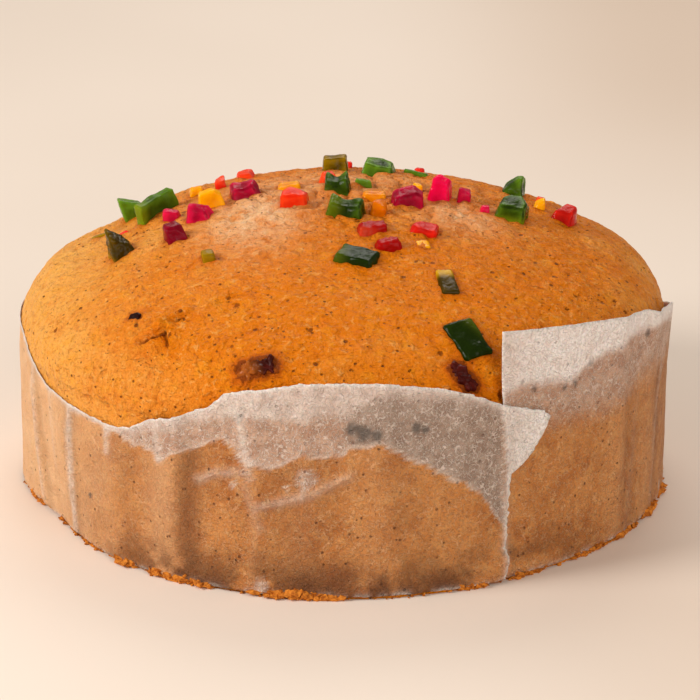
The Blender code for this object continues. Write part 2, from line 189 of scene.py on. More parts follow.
def crust_normal(x, y):
    step = 0.6
    slope_x = (crust_height(x + step, y) - crust_height(x - step, y)) / (2.0 * step)
    slope_y = (crust_height(x, y + step) - crust_height(x, y - step)) / (2.0 * step)
    return Vector((-slope_x, -slope_y, 1.0)).normalized()


def polar(angle, radius, height):
    """The point so many degrees round the cake, that far from its middle and that high."""
    turn = math.radians(angle)
    return Vector((radius * math.cos(turn), radius * math.sin(turn), height))


def scattered_pores():
    """Pores over the dome: (place, radius), most of them pinpricks."""
    draw = random.Random(PORE_SEED)
    places = KDTree(PORE_COUNT)
    sizes = []
    for number in range(PORE_COUNT):
        turn = draw.uniform(0.0, 2.0 * math.pi)
        radius = PORE_REACH * math.sqrt(draw.random())
        places.insert(Vector((radius * math.cos(turn), radius * math.sin(turn), 0.0)), number)
        sizes.append(SMALLEST_PORE + LARGER_PORES * draw.random() ** 3)
    places.balance()
    return places, sizes


def fruit_tree(names):
    """The named solids of fruit as one searchable surface, in metres."""
    points, faces = [], []
    for name in names:
        solid = frame["nodes"][name]
        start = len(points)
        points += [solid.matrix_world @ corner.co for corner in solid.data.vertices]
        faces += [[start + index for index in face.vertices] for face in solid.data.polygons]
    return BVHTree.FromPolygons(points, faces)


pores, pore_sizes = scattered_pores()
not_fruit = ("cake_sponge", "paper_wrap")
fruit_solids = fruit_tree([name for name in frame["nodes"] if name not in not_fruit])
raisin_solids = fruit_tree(("raisin_front", "cherry_wrinkled"))


def distance_to(solids, point, reach):
    """Distance in mm from a point in mm to the nearest of some solids, up to reach."""
    found = solids.find_nearest(point * MM, reach * MM)
    return found[3] / MM if found[0] is not None else reach


def crack_depth(x, y):
    """Short torn lips in the crust: grooves with one raised side."""
    total = 0.0
    for start, end, depth in CRACKS:
        run = Vector(end) - Vector(start)
        offset = Vector((x, y)) - Vector(start)
        if offset.length > CRACK_REACH:
            continue
        share = min(max(offset.dot(run) / run.length_squared, 0.0), 1.0)
        across = (offset - run * share).length + 0.35 * ripple(x, y, 1.4, 8.0)
        side = run.x * offset.y - run.y * offset.x
        raised = CRACK_LIP * bell(across - LIP_AWAY, 1.0) if side > 0.0 else 0.0
        total += depth * (raised - bell(across, CRACK_WIDTH))
    return total


def crust_relief(x, y, point):
    """How far the crust stands out from the smooth dome, how much a pore sinks it and darkens it
    with painted shade, how much painted shade a crack or the crust's edge against a die gets, and
    how far off the nearest die is."""
    crown = bell(math.hypot(x - BLISTERED[0], y - BLISTERED[1]), BLISTERED[2])
    skin = sum(high * ripple(x, y * squeeze, size, layer)
               for high, squeeze, size, layer in CRUST_RIPPLES)
    blister = abs(ripple(x, y * 1.4, 6.5, 5.0))
    dents = -BLISTER_DEPTH * smooth_step(blister, BLISTER_WIDTH, 0.0) * crown
    crease = abs(ripple(x, y * 2.2, 8.0, 7.0))
    creases = -CREASE_DEPTH * smooth_step(crease, CREASE_WIDTH, 0.0) * (0.3 + crown)
    _, number, away = pores.find(Vector((x, y, 0.0)))
    hole = bell(away, pore_sizes[number])
    gap = distance_to(fruit_solids, point, FRUIT_NEAR)
    lip = FRUIT_LIP * bell(gap, LIP_WIDTH) * (1.0 + 0.9 * ripple(x, y, 2.0, 15.0))
    crack = crack_depth(x, y)
    relief = skin + dents + creases - PORE_DEPTH * hole + lip + crack
    return relief, hole, max(0.35 * bell(gap, 0.8), min(-0.55 * crack, 0.75)), gap


def paleness_and_left_light(x, y):
    """How pale the crust is painted: most on its left side, partly uneven baking and partly painted
    light where the window falls, less on its low flanks and its right side, and least on its crown.
    """
    left = smooth_step(-x, 18.0, 63.0) * (1.0 - 0.35 * smooth_step(-y, 25.0, 55.0))
    flank = smooth_step(math.hypot(x, y), 58.0, 72.0)
    return min(0.68 * left + 0.14 * flank + 0.25 * smooth_step(x, 45.0, 65.0), 1.0)


def crown_painted_sheen(x, y):
    """Where the crown gets a painted sheen: a large patch on its left, others behind and right."""
    total = sum(share * bell(math.hypot((x - middle_x) / half_x, (y - middle_y) / half_y), 1.0)
                for middle_x, middle_y, half_x, half_y, share in PAINTED_SHEEN_PATCHES)
    return min(total, 1.0)


def shoulder_push(point):
    """The crust swelled out over the tin's rim, most of all on the left."""
    angle = math.degrees(math.atan2(point.y, point.x))
    swell = sum(out * bell(turn_between(angle, middle), width) * bell(point.z - height, tall)
                for middle, width, height, tall, out in RIM_SWELLS)
    swell *= smooth_step(point.z, WALL_TOP, WALL_TOP + 1.5)
    return Vector((point.x, point.y, 0.0)).normalized() * swell


def to_disc(u, v):
    """A point of the square -1..1 moved to the round disc."""
    return u * math.sqrt(1.0 - v * v / 2.0), v * math.sqrt(1.0 - u * u / 2.0)


def crust_point(column, row):
    """A point of the dome and its marks: painted shade in pores and cracks and round each die, stain
    round fruit, how pale (on the left partly painted light), painted sheen on the crown.
    """
    u, v = to_disc(2.0 * column / CRUST_GRID - 1.0, 2.0 * row / CRUST_GRID - 1.0)
    reach = min(math.hypot(u, v), 1.0)
    radius = TIN_RADIUS * math.sin(math.pi / 2.0 * reach) ** (2.0 / PLAN_POWER)
    angle = math.atan2(v, u)
    x, y = radius * math.cos(angle), radius * math.sin(angle)
    point = Vector((x, y, crust_height(x, y)))
    inward = min((TIN_RADIUS - 1.0) / max(radius, MM), 1.0)
    normal = crust_normal(x * inward, y * inward)
    relief, hole, tuck_shade, gap = crust_relief(x, y, point)
    calm = smooth_step(reach, 1.0, 0.98)
    near_raisin = math.exp(-distance_to(raisin_solids, point, RAISIN_NEAR) / BURNT_FADE)
    burnt = 1.3 * near_raisin * (1.0 + 0.9 * ripple(x, y, 1.5, 30.0))
    stain = 0.45 * math.exp(-gap / STAIN_FADE) + 0.55 * min(max(burnt, 0.0), 1.0)
    marks = (max(hole * calm, tuck_shade), stain, paleness_and_left_light(x, y), crown_painted_sheen(x, y))
    return point + normal * (relief * calm) + shoulder_push(point), marks


def foot_radius(angle, height):
    """The wall, and below the paper the foot, ragged where crumb broke off the tin's base."""
    place = polar(angle, 40.0, 0.0)
    torn = smooth_step(0.4 + 1.8 * noise.noise(place / 7.0))
    ragged = 0.9 + 1.0 * noise.noise(place / 1.6) + 0.7 * noise.noise(place / 0.6)
    under = smooth_step(height, 1.1, 0.7) * (1.0 - 0.4 * bell(height, 0.25))
    return wall_radius(angle, height) + under * (torn * max(ragged, 0.0) - FOOT_UNDERCUT)


def write_marks(mesh, name, marks):
    """Store three shares, each 0 to 1, for every point of a mesh."""
    flat = []
    for mark in marks:
        flat += [mark[0], mark[1], mark[2], 1.0]
    mesh.attributes.new(name, "FLOAT_COLOR", "POINT").data.foreach_set("color", flat)


def add_object(name, data):
    made = bpy.data.objects.new(name, data)
    bpy.context.scene.collection.objects.link(made)
    return made


def write_mesh(name, points, faces, marks):
    """A named object from points in mm, with its marks."""
    mesh = bpy.data.meshes.new(name)
    mesh.from_pydata([point * MM for point in points], [], faces)
    mesh.validate()
    write_marks(mesh, "marks", marks)
    mesh.shade_smooth()
    return add_object(name, mesh)


def build_sponge():
    side = CRUST_GRID + 1
    points, marks, faces = [], [], []
    for row in range(side):
        for column in range(side):
            point, mark = crust_point(column, row)
            points.append(point)
            marks.append(mark)
    for row in range(CRUST_GRID):
        for column in range(CRUST_GRID):
            first = row * side + column
            faces.append((first, first + 1, first + side + 1, first + side))
    rim = list(range(CRUST_GRID))
    rim += [row * side + CRUST_GRID for row in range(CRUST_GRID)]
    rim += [CRUST_GRID * side + column for column in range(CRUST_GRID, 0, -1)]
    rim += [row * side for row in range(CRUST_GRID, 0, -1)]
    angles = [math.degrees(math.atan2(points[index].y, points[index].x)) for index in rim]
    above = rim
    for height in WALL_LEVELS + FOOT_LEVELS:
        ring = []
        for angle in angles:
            ring.append(len(points))
            skin = WALL_SKIN * noise.noise(polar(angle, 30.0, height / 2.0))
            inward = abs(skin) if height > SKIN_ABOVE else 0.0
            points.append(polar(angle, foot_radius(angle, height) - inward, height))
            marks.append((0.0, 0.0, paleness_and_left_light(points[-1].x, points[-1].y), 0.0))
        for here in range(len(rim)):
            after = (here + 1) % len(rim)
            faces.append((ring[here], ring[after], above[after], above[here]))
        above = ring
    middle = len(points)
    points.append(Vector((0.0, 0.0, 0.0)))
    marks.append((0.0, 0.0, 1.0, 0.0))
    for here in range(len(rim)):
        faces.append((above[(here + 1) % len(rim)], above[here], middle))
    made = write_mesh("sponge", points, faces, marks)
    write_marks(made.data, "painted_sheen_share", [(mark[3], 0.0, 0.0) for mark in marks])
    return made


def node(tree, kind, **settings):
    made = tree.nodes.new(kind)
    for name, value in settings.items():
        setattr(made, name, value)
    return made


def new_material(name):
    """A Principled material: itself, its tree, its shader and the place that it reads."""
    made = bpy.data.materials.new(name)
    made.use_nodes = True
    tree = made.node_tree
    where = node(tree, "ShaderNodeTexCoord").outputs["Object"]
    return made, tree, tree.nodes["Principled BSDF"], where


def read_marks(tree, name):
    """The three shares stored under a name."""
    marks = node(tree, "ShaderNodeAttribute", attribute_name=name)
    parts = node(tree, "ShaderNodeSeparateColor")
    tree.links.new(marks.outputs["Color"], parts.inputs["Color"])
    return parts.outputs[0], parts.outputs[1], parts.outputs[2]


def noise_node(tree, where, size, detail=3.0, rough=0.55):
    """Noise whose waves are about size mm long, read at a place in metres."""
    made = node(tree, "ShaderNodeTexNoise", noise_type="FBM", normalize=True)
    made.inputs["Scale"].default_value = 1.0 / (size * MM)
    made.inputs["Detail"].default_value = detail
    made.inputs["Roughness"].default_value = rough
    tree.links.new(where, made.inputs["Vector"])
    return made.outputs["Fac"]


def cell_distance(tree, where, size):
    """Distance from the middle of the nearest of many cells, each about size mm wide."""
    made = node(tree, "ShaderNodeTexVoronoi", feature="F1")
    made.inputs["Scale"].default_value = 1.0 / (size * MM)
    tree.links.new(where, made.inputs["Vector"])
    return made.outputs["Distance"]


def ramp(tree, value, low, high):
    """0 at low, 1 at high, and smooth between."""
    made = node(tree, "ShaderNodeMapRange", interpolation_type="SMOOTHSTEP")
    made.inputs["From Min"].default_value = low
    made.inputs["From Max"].default_value = high
    tree.links.new(value, made.inputs["Value"])
    return made.outputs["Result"]


def sums(tree, operation, first, second=0.0):
    made = node(tree, "ShaderNodeMath", operation=operation)
    for socket, value in zip(made.inputs, (first, second)):
        if isinstance(value, (int, float)):
            socket.default_value = value
        else:
            tree.links.new(value, socket)
    return made.outputs["Value"]


def uneven(tree, value, wave, swing):
    """A value that noise pushes up and down, by half of swing at most."""
    return sums(tree, "ADD", value, sums(tree, "MULTIPLY", sums(tree, "SUBTRACT", wave, 0.5), swing))


def tint(tree, share, first, second):
    """Mix of two colours, each a socket or linear RGB."""
    made = node(tree, "ShaderNodeMix", data_type="RGBA")
    tree.links.new(share, made.inputs[0])
    for socket, value in ((made.inputs[6], first), (made.inputs[7], second)):
        if isinstance(value, tuple):
            socket.default_value = (*value, 1.0)
        else:
            tree.links.new(value, socket)
    return made.outputs[2]


def tinge(tree, colour, share, most, other):
    """A colour turned towards another, by most of the way where the share is 1."""
    return tint(tree, sums(tree, "MULTIPLY", share, most), colour, other)


def bump(tree, height, depth, below=None):
    """Small relief, depth mm high where the height runs from 0 to 1."""
    made = node(tree, "ShaderNodeBump")
    made.inputs["Distance"].default_value = depth * MM
    tree.links.new(height, made.inputs["Height"])
    if below is not None:
        tree.links.new(below, made.inputs["Normal"])
    return made.outputs["Normal"]


def finish_skin(tree, shader, colour, relief, finish):
    """Join the colour and the relief, and set what is the same all over."""
    tree.links.new(colour, shader.inputs["Base Color"])
    if relief is not None:
        tree.links.new(relief, shader.inputs["Normal"])
    for socket, value in finish.items():
        shader.inputs[socket].default_value = value


def crust_material():
    made, tree, shader, where = new_material("crust")
    hole, stain, pale = read_marks(tree, "marks")
    sheen_mark = read_marks(tree, "painted_sheen_share")[0]
    squeeze = node(tree, "ShaderNodeMapping")
    squeeze.inputs["Scale"].default_value = (0.90, 1.0, 1.10)
    tree.links.new(where, squeeze.inputs["Vector"])
    flat = squeeze.outputs["Vector"]
    waves = {
        "patch": noise_node(tree, where, 4.0, 4.0, 0.6),
        "grain": noise_node(tree, flat, 0.9, 3.0, 0.6),
        "fleck": noise_node(tree, flat, 1.5, 4.0, 0.7),
        "pucker": noise_node(tree, flat, 2.6, 2.0, 0.5),
    }
    # paler on the left: partly uneven baking, partly painted light where the window falls
    share = uneven(tree, pale, noise_node(tree, where, 20.0, 3.0), 1.2)
    colour = tint(tree, ramp(tree, share, 0.0, 1.0), CRUST_DEEP, CRUST_PALE)
    for wave, start, full, most, other in CRUST_TINTS:
        colour = tinge(tree, colour, ramp(tree, waves[wave], start, full), most, other)
    # painted sheen on the crown, with painted glints in it
    painted_sheen_share = sums(tree, "MULTIPLY", sheen_mark, ramp(tree, waves["patch"], 0.22, 0.60))
    colour = tint(tree, painted_sheen_share, colour, PAINTED_SHEEN)
    painted_glint_share = sums(tree, "MULTIPLY", ramp(tree, waves["fleck"], 0.50, 0.66), 0.5)
    colour = tint(tree, sums(tree, "MULTIPLY", painted_sheen_share, painted_glint_share), colour, PAINTED_SHEEN_GLINTS)
    pits = [ramp(tree, cell_distance(tree, flat, apart), wide, wide * 0.45)
            for apart, wide in PINPRICKS]
    crowded = ramp(tree, noise_node(tree, where, 5.0, 1.0), 0.46, 0.56)
    pits[-1] = sums(tree, "MULTIPLY", pits[-1], crowded)
    prick = sums(tree, "MAXIMUM", pits[0], sums(tree, "MAXIMUM", pits[1], pits[2]))
    # painted shade in pores, pinpricks and cracks and round each die
    dark = sums(tree, "MULTIPLY", ramp(tree, hole, 0.28, 0.52), 0.78)
    dark = sums(tree, "MAXIMUM", dark, sums(tree, "MULTIPLY", prick, 0.88))
    stain = uneven(tree, stain, waves["fleck"], 0.9)
    colour = tint(tree, ramp(tree, stain, 0.10, 0.55), colour, STAINED)
    colour = tinge(tree, colour, ramp(tree, stain, 0.58, 0.78), 0.8, BURNT)
    colour = tint(tree, dark, colour, PIT_SHADE)
    relief = bump(tree, waves["grain"], 0.85, bump(tree, waves["pucker"], 1.6))
    relief = bump(tree, prick, -0.6, relief)
    relief = bump(tree, waves["fleck"], 1.1, relief)
    finish_skin(tree, shader, colour, relief, CRUST_FINISH)
    return made


crust = crust_material()
sponge = build_sponge()
sponge.data.materials.append(crust)
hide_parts("cake_sponge")
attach(sponge, "root")

# ---- The crumbs at the foot ----
# Crumb torn from the cake's base when it left the tin. It sticks out from under the
# paper in clumps, most of them in front and along the right.

CRUMB_SEED = 21
FRONT_LIMIT = cad_box[0][1] / MM + 0.15    # no crumb sticks out past the foot in front
CRUMB_DARK, CRUMB_LIGHT = (0.34, 0.085, 0.006), (0.72, 0.24, 0.025)
CRUMB_FINISH = {"Roughness": 0.8, "Specular IOR Level": 0.2}
CRUMB_CLUMPS = (           # (degrees, half spread in degrees, how many, largest radius)
    (-129.0, 1.6, 14, 2.0), (-119.0, 4.0, 34, 2.1), (-113.0, 2.0, 12, 1.4), (-98.5, 4.5, 40, 2.1),
    (-92.0, 3.0, 18, 1.6), (-68.5, 3.0, 26, 1.8), (-57.0, 4.0, 14, 1.4), (-44.0, 4.0, 20, 1.6),
    (-33.0, 3.5, 18, 1.6), (-22.0, 2.5, 18, 2.0), (-12.0, 3.0, 16, 1.9), (-165.0, 4.0, 14, 1.5),
    (-150.0, 6.0, 24, 0.9), (60.0, 50.0, 40, 1.1), (150.0, 25.0, 16, 1.1), (-85.0, 50.0, 60, 0.6),
    (-172.0, 5.0, 16, 1.1), (-140.0, 7.0, 34, 0.9), (-35.0, 20.0, 50, 0.7),
)


def build_crumbs():
    draw = random.Random(CRUMB_SEED)
    body = bmesh.new()
    for middle, spread, count, largest in CRUMB_CLUMPS:
        for _ in range(count):
            angle = draw.gauss(middle, spread * 0.6)
            size = largest * draw.uniform(0.35, 1.0)
            out = wall_radius(angle, 0.0) + draw.uniform(-0.2, 1.0) - 0.40 * size
            place = polar(angle, out, size * draw.uniform(0.2, 0.7))
            stretch = [draw.uniform(0.6, 1.5), draw.uniform(0.6, 1.5), draw.uniform(0.4, 1.0)]
            start = len(body.verts)
            bmesh.ops.create_icosphere(body, subdivisions=2, radius=1.0)
            body.verts.ensure_lookup_table()
            for corner in body.verts[start:]:
                push = (1.0 + 0.8 * noise.noise(corner.co * 1.7 + place)
                        + 0.7 * noise.noise(corner.co * 4.3 + place))
                spot = Vector([corner.co[axis] * stretch[axis] for axis in range(3)])
                spot = spot * size * push * 0.75 + place
                spot.z = max(spot.z, 0.03)
                spot.y = max(spot.y, FRONT_LIMIT)
                corner.co = spot * MM
    mesh = bpy.data.meshes.new("crumbs")
    body.to_mesh(mesh)
    body.free()
    return add_object("crumbs", mesh)


def crumb_material():
    made, tree, shader, where = new_material("crumb")
    grain = noise_node(tree, where, 0.9, 4.0, 0.65)
    colour = tint(tree, ramp(tree, grain, 0.35, 0.62), CRUMB_DARK, CRUMB_LIGHT)
    finish_skin(tree, shader, colour, bump(tree, grain, 0.4), CRUMB_FINISH)
    return made


crumbs = build_crumbs()
crumbs.data.materials.append(crumb_material())
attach(crumbs, "root")

# ---- The baking paper ----
# One strip of thin greasy paper round the cake, wound once and a little more. It starts
# at a knife-cut end, goes round behind, and ends in a torn flap over that end. Where it
# sticks to the sponge it is brown and see-through; where it stands free it is whitish.
# Its colour also holds painted light and shade: lighter on the left and on the free strip
# at the right, a painted highlight and painted shade along folds and creases, and painted
# shade low in front and where the strip stands off the sponge in front.

PAPER_GAP = 0.06           # air behind the strip where it clings
PAPER_THICK = 0.14
PAPER_LAP = 0.70           # extra room for the second layer
PAPER_FOOT = 0.75
PAPER_COLUMNS = 760
PAPER_ROWS = 62
CUT_END, TORN_TIP = -63.0, 306.0
LAP_START, LAP_FULL = 282.0, 294.0
STRIP_LONG, STRIP_TALL = 480.0, 40.0    # about, for the rubbed white rims
ALONG = 1.31               # mm along the strip for each degree
EDGE_LEANS = (             # (degrees, half width, from this height, full at, how far out)
    (-16.0, 22.0, 24.0, 50.0, 1.5), (DOWN_FRONT, 34.0, 37.0, 48.0, -1.4),
)
LEFT_FOOT = (-174.0, 10.0, 0.6)    # (degrees, half width, how far out)
CLINGS_FROM, CLINGS_UNTIL = (172.0, 182.0), (234.0, 228.0)
USUAL_FOLD = 1.7
VEIL_SOFT, VEIL_SHARP = 9.0, 1.4
PAPER_EDGE = (             # (degrees along the strip, height of its upper edge)
    (CUT_END, 56), (-50, 54.5), (-38, 52.5), (-28, 51), (-24, 49), (-14, 47), (-8, 44), (6, 38.5),
    (18, 33), (50, 31.5), (90, 33), (130, 35.5), (165, 38.5), (180, 40), (192, 40), (196, 39),
    (201, 36), (208, 33), (221, 31.5), (230, 31), (233, 32), (237, 35.5), (241, 37), (248, 40.5),
    (250, 43.5), (253, 44.5), (260, 46), (263, 47), (276, 47), (287, 45), (293, 42.5), (297, 40),
    (301, 38.5), (304, 37.5), (TORN_TIP, 35.5),
)
TORN_END = (               # (height, degrees) up the torn end
    (1, 297), (5, 298), (8, 297), (15, 297.5), (22.5, 298), (24.5, 298.5), (27, 301.5), (32.5, 305),
    (35.5, TORN_TIP),
)
PAPER_FOLDS = (            # (degrees, height of the fold, half widths to its left and right)
    (-160, 0.7, 2.0, 1.2), (-146, 1.1, 3.5, 1.2), (-131, 0.7, 4.0, 1.5), (-118, 2.0, 5.0, 1.5),
    (-104, 0.8, 1.2, 3.0), (-95, 0.5, 3.0, 1.2), (-83, 0.4, 4.0, 1.5), (-36, 0.8, 3.0, 2.0),
    (-24, 1.0, 3.5, 2.0), (20, 0.5, 3.0, 3.0), (64, 0.8, 4.0, 3.0), (112, 0.6, 3.0, 3.0),
    (150, 0.7, 3.0, 3.0),
)
SHARP_CREASES = (          # (degrees, height) from and to, how far out, half width, whiteness: rubbed pale and a painted highlight
    ((-110, 43), (-107, 39), 0.35, 0.5, 0.9), ((-107, 39), (-106, 31), 0.4, 0.6, 1.0),
    ((-106, 31), (-105, 26), 0.3, 0.6, 0.8), ((-111, 41), (-96, 39), 0.28, 0.4, 0.5),
    ((-110, 42), (-99, 40.5), 0.22, 0.35, 0.35), ((-104, 20), (-100, 21), 1.0, 0.8, 0.45),
    ((-100, 21), (-94, 24), 1.1, 0.9, 0.5), ((-94, 24), (-89, 27), 0.9, 0.9, 0.35),
    ((-114, 24), (-111, 26), 1.0, 0.8, 0.5), ((-111, 26), (-106, 27), 0.9, 0.8, 0.5),
    ((-106, 24), (-103, 15), 0.8, 0.9, 0.2), ((-103, 15), (-104, 4), 0.6, 1.2, 0.0),
    ((-159, 34), (-160, 3), 0.45, 0.6, 0.6), ((-144, 33), (-145, 2), 0.55, 0.7, 0.9),
    ((-134, 31), (-133, 25), 0.3, 0.5, 0.9), ((-122, 33), (-121, 27), 0.35, 0.6, 0.7),
    ((-151, 32), (-152, 14), 0.3, 0.8, 0.3), ((-128, 22), (-126, 4), 0.3, 1.2, 0.0),
    ((-90, 14), (-88, 2), 0.3, 1.3, 0.0), ((-84, 20), (-77, 9), 0.22, 1.1, 0.0),
    ((-63, 41), (-63, 3), 0.22, 0.35, 0.25), ((-15, 44), (-23, 16), 0.5, 0.8, 0.4),
    ((-23, 16), (-22, 3), 0.45, 0.9, 0.2), ((-37, 27), (-37, 5), 0.3, 1.2, 0.0),
    ((-30, 31), (-33, 3), 0.3, 1.0, 0.1), ((-18, 46), (-19, 30), 0.3, 0.6, 0.5),
    ((30, 30), (34, 4), 0.45, 1.0, 0.3), ((88, 30), (84, 4), 0.45, 1.0, 0.3),
    ((135, 32), (138, 5), 0.45, 1.0, 0.3), ((170, 36), (171, 4), 0.4, 1.0, 0.3),
)
PALE_ABOVE = (             # (degrees, height): above it the strip stands free and dry
    (CUT_END, 43), (-48, 42.5), (-44, 44.5), (-36, 46), (-28, 47), (-18, 44.5), (-8, 42), (6, 36.5),
    (18, 31.5), (50, 30), (90, 31.5), (130, 33.5), (165, 37), (192, 39.5), (201, 35.5), (208, 32.5),
    (221, 31), (230, 30.5), (233, 31), (237, 33.5), (243, 35), (248, 38), (255, 39), (270, 40),
    (275, 44), (281, 44), (290, 42), (296, 39.5), (297, 36), (298, 12), (TORN_TIP, 8),
)
VEIL_ABOVE = (             # (degrees, height): above it the strip has come away a little
    (CUT_END, 37), (-56, 35), (-48, 33), (-37, 33), (-28, 36), (-8, 36), (6, 33), (18, 28), (50, 27),
    (90, 28), (130, 30), (165, 34), (180, 38), (192, 37.5), (198, 38.5), (207, 33.5),
    (215, 32), (221, 31), (227, 30.5), (230, 30), (235, 28.5), (239, 28), (247, 32), (250, 34.5),
    (253, 30), (258, 28.5), (262, 31), (269, 32), (276, 34.5), (282, 29.5), (287, 26), (293, 21),
    (297, 12), (TORN_TIP, 8),
)
PALE_SPOTS = (             # (degrees, height, radius) where the strip has lifted off
    (-96, 26.5, 2.5), (-108, 24, 1.0), (-103, 2.5, 1.7), (-99, 24.5, 0.7), (-105, 29.5, 1.2),
    (-133, 29.5, 1.2), (-122, 31, 1.3), (-15, 3, 1.5),
)
DARK_SPOTS = (             # (degrees, height, radius) fruit and char showing through
    (-88.5, 37.5, 1.6), (-86.5, 36.5, 1.9), (-84.5, 36, 1.5), (-78, 37, 1.2), (-76.5, 36.5, 1.0),
    (-107, 39, 1.1), (-138.5, 12.5, 0.8), (-44.5, 44.5, 0.9), (-48, 41, 0.8), (-50.5, 40.5, 0.8),
    (-28, 45.5, 0.9), (-57, 42, 0.5), (-45.5, 46, 0.45), (-59, 44, 0.3),
)
FOOT_SHADE_SPOTS = (           # (degrees, height, radius) where the foot is darker: partly painted shade, partly crumb behind that baked dark
    (-96, 2.5, 3.5), (-91, 4, 4.5), (-84, 2, 3.0), (-74, 1.5, 2.5), (-117, 1.5, 2.0), (-111, 1, 2.0),
)

# two colours are the darker and the lighter one
GREASY = ((0.42, 0.130, 0.022), (0.60, 0.225, 0.055))
GREASY_TINTS = (           # what tints the greasy brown paper, how much, and the colour: the left side tint is painted light, the fold tints are a painted highlight on crests and painted shade in creases, and the foot tint is partly painted shade low in front
    ("light cloud", 0.55, (0.70, 0.325, 0.105)), ("dark cloud", 0.45, (0.27, 0.072, 0.012)),
    ("dark grain", 0.55, (0.25, 0.070, 0.012)), ("left side", 0.75, (0.98, 0.59, 0.31)),
    ("fibre", 0.31, (0.88, 0.54, 0.30)), ("blotch", 0.30, (0.64, 0.26, 0.07)),
    ("ridge_highlight", 0.45, (0.76, 0.40, 0.19)), ("valley_shade", 0.60, (0.17, 0.052, 0.013)),
    ("foot", 0.80, (0.14, 0.048, 0.013)), ("pore", 0.7, (0.12, 0.030, 0.006)),
)
COME_AWAY = ((0.43, 0.235, 0.150), (0.60, 0.37, 0.255))
# lighter come-away paper on the left: painted light
COME_AWAY_LEFT_LIT = (0.80, 0.47, 0.28)
# grey of the come-away paper in front: painted shade from the gap behind it
COME_AWAY_GAP_SHADE = ((0.30, 0.195, 0.140), (0.44, 0.310, 0.235))
COME_AWAY_FIBRE, COME_AWAY_PORE = (0.84, 0.68, 0.58), (0.25, 0.12, 0.08)
DRY = ((0.55, 0.385, 0.305), (0.72, 0.555, 0.465))
# brighter dry paper on the right: painted light
DRY_RIGHT_LIT = ((0.93, 0.790, 0.715), (1.0, 0.905, 0.850))
DRY_FIBRE = (0.93, 0.82, 0.75)
SHOWS_DARK, SHOWS_DARK_DRY = (0.085, 0.075, 0.065), (0.20, 0.14, 0.12)
RUBBED_WHITE_AND_HIGHLIGHT, RIM_WHITE = (0.92, 0.78, 0.68), (0.96, 0.87, 0.80)
PAPER_FINISH = {
    "Roughness": 0.5, "Specular IOR Level": 0.25, "Subsurface Weight": 0.06,
    "Subsurface Scale": 0.001,
}


def along(points, place):
    """Straight-line reading of a list of (place, value) pairs."""
    for (here, low), (there, high) in zip(points, points[1:]):
        if place <= there:
            share = max((place - here) / (there - here), 0.0)
            return low + (high - low) * share
    return points[-1][1]


def tear(angle, size):
    """Ragged line of a tear, about -1 to 1."""
    return (noise.noise(Vector((angle * 1.3 / size, 1.0, 0.0))) * 0.6
            + noise.noise(Vector((angle * 1.3 / size * 3.1, 5.0, 0.0))) * 0.4)


def strip_ripple(angle, height, size, layer):
    """Ripple over the strip laid flat."""
    return ripple(angle * 1.3, height, size, layer)


def upper_edge(angle):
    torn = smooth_step(angle, 198.0, 206.0) + 0.6 * smooth_step(angle, 20.0, 40.0)
    ragged = tear(angle, 1.6) * 0.45 * min(torn, 1.0) + tear(angle, 6.0) * 0.3
    return along(PAPER_EDGE, angle) + ragged * smooth_step(angle, TORN_TIP, TORN_TIP - 3.0)


def torn_angle(height):
    lowest, highest = TORN_END[0][0], TORN_END[-1][0]
    return along(TORN_END, min(max(height, lowest), highest)) + 0.9 * tear(height, 1.1)


def strip_offset(angle, height, place):
    """Steps in mm along and up the strip from a place to a point."""
    return Vector((turn_between(angle, place[0]) * ALONG, height - place[1]))


def crease_push_and_highlight(angle, height):
    """How far sharp creases push the strip out there, and how pale they make it, rubbed pale with a
    painted highlight along them.
    """
    push, white = 0.0, 0.0
    for start, end, out, width, rubbed in SHARP_CREASES:
        offset = strip_offset(angle, height, start)
        run = strip_offset(end[0], end[1], start)
        if offset.length > run.length + 5.0:
            continue
        share = min(max(offset.dot(run) / run.length_squared, 0.0), 1.0)
        away = (offset - run * share).length
        wobble = 0.7 + 0.6 * strip_ripple(angle, height, 1.1, 3.0)
        push = max(push, out * math.exp(-away / width))
        white = max(white, rubbed * wobble * bell(away, width + 0.25))
    return push, min(white, 1.0)


def spot_share(angle, height, spots, layer):
    """1 inside a listed spot with a ragged outline, 0 outside."""
    inside = 0.0
    for degrees, up, radius in spots:
        away = strip_offset(angle, height, (degrees, up)).length
        if away < radius * 2.0:
            away += 0.45 * radius * strip_ripple(angle, height, radius * 0.6, layer)
            inside = max(inside, smooth_step(away, radius * 1.15, radius * 0.65))
    return inside


def foot_shade(angle, height):
    """How dark the strip is near its foot in front: partly painted shade under the cake's belly,
    partly crumb behind it that baked dark.
    """
    darkest = 0.0
    for degrees, up, radius in FOOT_SHADE_SPOTS:
        away = strip_offset(angle, height, (degrees, up)).length
        away += 1.1 * strip_ripple(angle, height, 1.8, 9.0)
        darkest = max(darkest, 1.5 * bell(away, 1.1 * radius))
    return darkest


def above_line(angle, height, line, rough, soft):
    """0 below a line along the strip and 1 above it, with a ragged soft boundary."""
    edge = along(line, angle) + rough * strip_ripple(angle, height, 5.0, 2.0)
    edge += 0.6 * rough * strip_ripple(angle, height, 1.7, 4.0)
    return smooth_step((height - edge) / soft + 0.5)


def from_fold(angle, height, where):
    """Degrees from a fold, whose line wanders a little on its way up."""
    return turn_between(angle, where + ripple(height, where, 12.0, 1.0))


